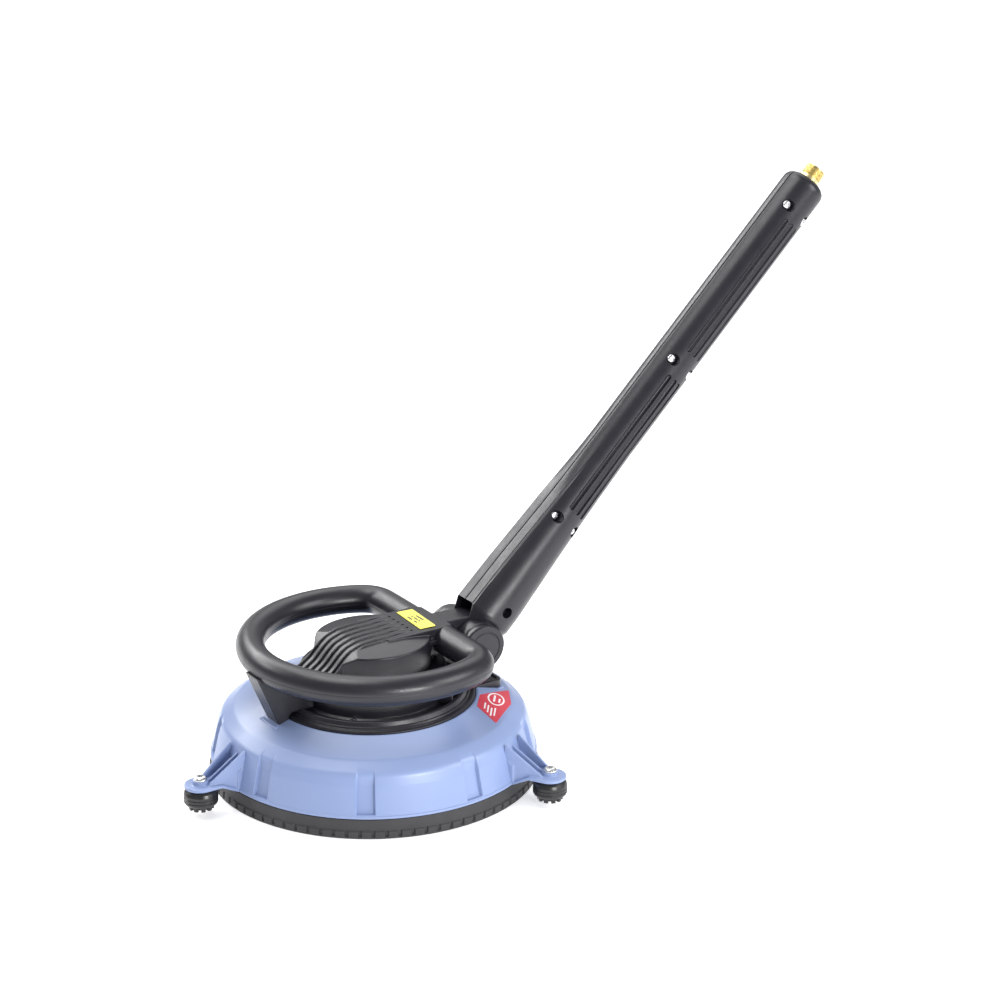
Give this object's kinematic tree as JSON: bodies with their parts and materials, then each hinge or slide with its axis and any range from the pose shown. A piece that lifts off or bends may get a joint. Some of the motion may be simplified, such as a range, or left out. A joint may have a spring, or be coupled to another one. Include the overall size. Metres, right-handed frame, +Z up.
{
  "type": "surface cleaner",
  "caption": "Rotary surface cleaner for a pressure washer: a round moulded shroud over a spinning spray bar, with guide rollers, a ring handle and a tilting two-shell wand with a hose inlet",
  "frame": {"origin": "centre of the cleaning disc, on the floor under the skirt", "axes": "+X is the way the wand leans, +Y is to the left of it, +Z is up"},
  "size_m": [0.7605, 0.3718, 0.5442],
  "materials": {
    "shroud_plastic": "moulded periwinkle-blue plastic, satin gloss",
    "body_plastic": "moulded black plastic, fine satin grain",
    "roller_plastic": "moulded black nylon, smooth",
    "skirt_rubber": "dull black rubber",
    "yellow_label": "printed film, satin",
    "red_label": "printed film, satin",
    "brass": "machined, bright",
    "steel": "zinc plated, bright",
    "alloy": "cast and machined"
  },
  "bodies": {
    "base": {"shroud": "shroud_plastic", "skirt_ring": "skirt_rubber", "flange": "body_plastic", "top_housing": "body_plastic", "handle_ring": "body_plastic", "handle_leg": "body_plastic", "yellow_label": "yellow_label", "red_label": "red_label", "union_housing": "alloy", "upper_bearing": "steel", "lower_bearing": "steel", "bearing_spacer": "alloy", "retaining_ring": "steel", "shaft_seal": "skirt_rubber", "feed_pipe": "steel", "pivot_tube": "brass", "roller_bolt_1": "steel", "roller_nut_1": "steel", "roller_bolt_2": "steel", "roller_nut_2": "steel", "roller_bolt_3": "steel", "roller_nut_3": "steel", "flange_screw_1": "steel", "flange_screw_2": "steel", "flange_screw_3": "steel", "flange_screw_4": "steel"},
    "rotor": {"rotor_shaft": "steel", "rotor_hub": "brass", "rotor_nut": "steel", "spray_arm_1": "steel", "nozzle_1": "brass", "spray_arm_2": "steel", "nozzle_2": "brass"},
    "roller_wheel_1": {"roller_1": "roller_plastic", "roller_bush_1": "brass"},
    "roller_wheel_2": {"roller_2": "roller_plastic", "roller_bush_2": "brass"},
    "roller_wheel_3": {"roller_3": "roller_plastic", "roller_bush_3": "brass"},
    "wand": {"wand_shell_near": "body_plastic", "wand_shell_far": "body_plastic", "wand_pipe": "steel", "swivel_eye": "brass", "hose_inlet": "brass", "knuckle_cap_near": "body_plastic", "knuckle_cap_far": "body_plastic", "shell_screw_1": "steel", "shell_screw_2": "steel", "shell_screw_3": "steel", "shell_screw_4": "steel", "shell_screw_5": "steel", "shell_screw_6": "steel"}
  },
  "joints": [
    {"name": "wand_tilt", "type": "hinge", "parent": "base", "child": "wand", "pos_m": [0.109, 0, 0.114], "axis": [0, 1, 0], "range_deg": [-36, 34]},
    {"name": "rotor_spin", "type": "hinge", "parent": "base", "child": "rotor", "pos_m": [0, 0, 0.035], "axis": [0, 0, 1], "continuous": true},
    {"name": "roller_1_spin", "type": "hinge", "parent": "base", "child": "roller_wheel_1", "pos_m": [-0.1949, 0, 0.014], "axis": [0, 0, 1], "continuous": true},
    {"name": "roller_2_spin", "type": "hinge", "parent": "base", "child": "roller_wheel_2", "pos_m": [0.09745, -0.16879, 0.014], "axis": [0, 0, 1], "continuous": true},
    {"name": "roller_3_spin", "type": "hinge", "parent": "base", "child": "roller_wheel_3", "pos_m": [0.09745, 0.16879, 0.014], "axis": [0, 0, 1], "continuous": true}
  ]
}
